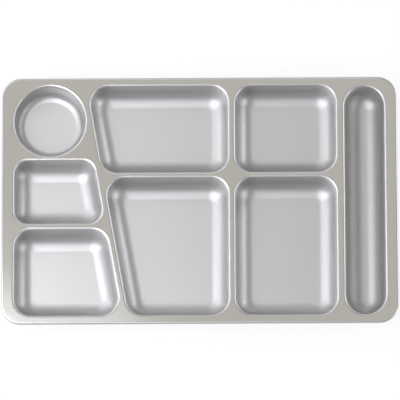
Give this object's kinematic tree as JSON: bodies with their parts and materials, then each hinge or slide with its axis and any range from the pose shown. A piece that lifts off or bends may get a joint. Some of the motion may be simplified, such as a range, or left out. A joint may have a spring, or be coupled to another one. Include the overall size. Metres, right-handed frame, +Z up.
{
  "type": "compartment tray",
  "caption": "Pressed stainless steel meal tray with a round cup, slanted and square food wells, a half-round cutlery channel and a curled edge.",
  "frame": {"origin": "middle of the tray in plan, on the plane that the undersides of the wells rest on", "axes": "+X along the tray towards the cutlery channel, +Y across it towards the cup's side, +Z up out of the wells"},
  "size_m": [0.4, 0.255, 0.0268],
  "materials": {
    "stainless": "polished deck, satin wells"
  },
  "bodies": {
    "root": {"pressed_tray": "stainless"}
  },
  "joints": []
}
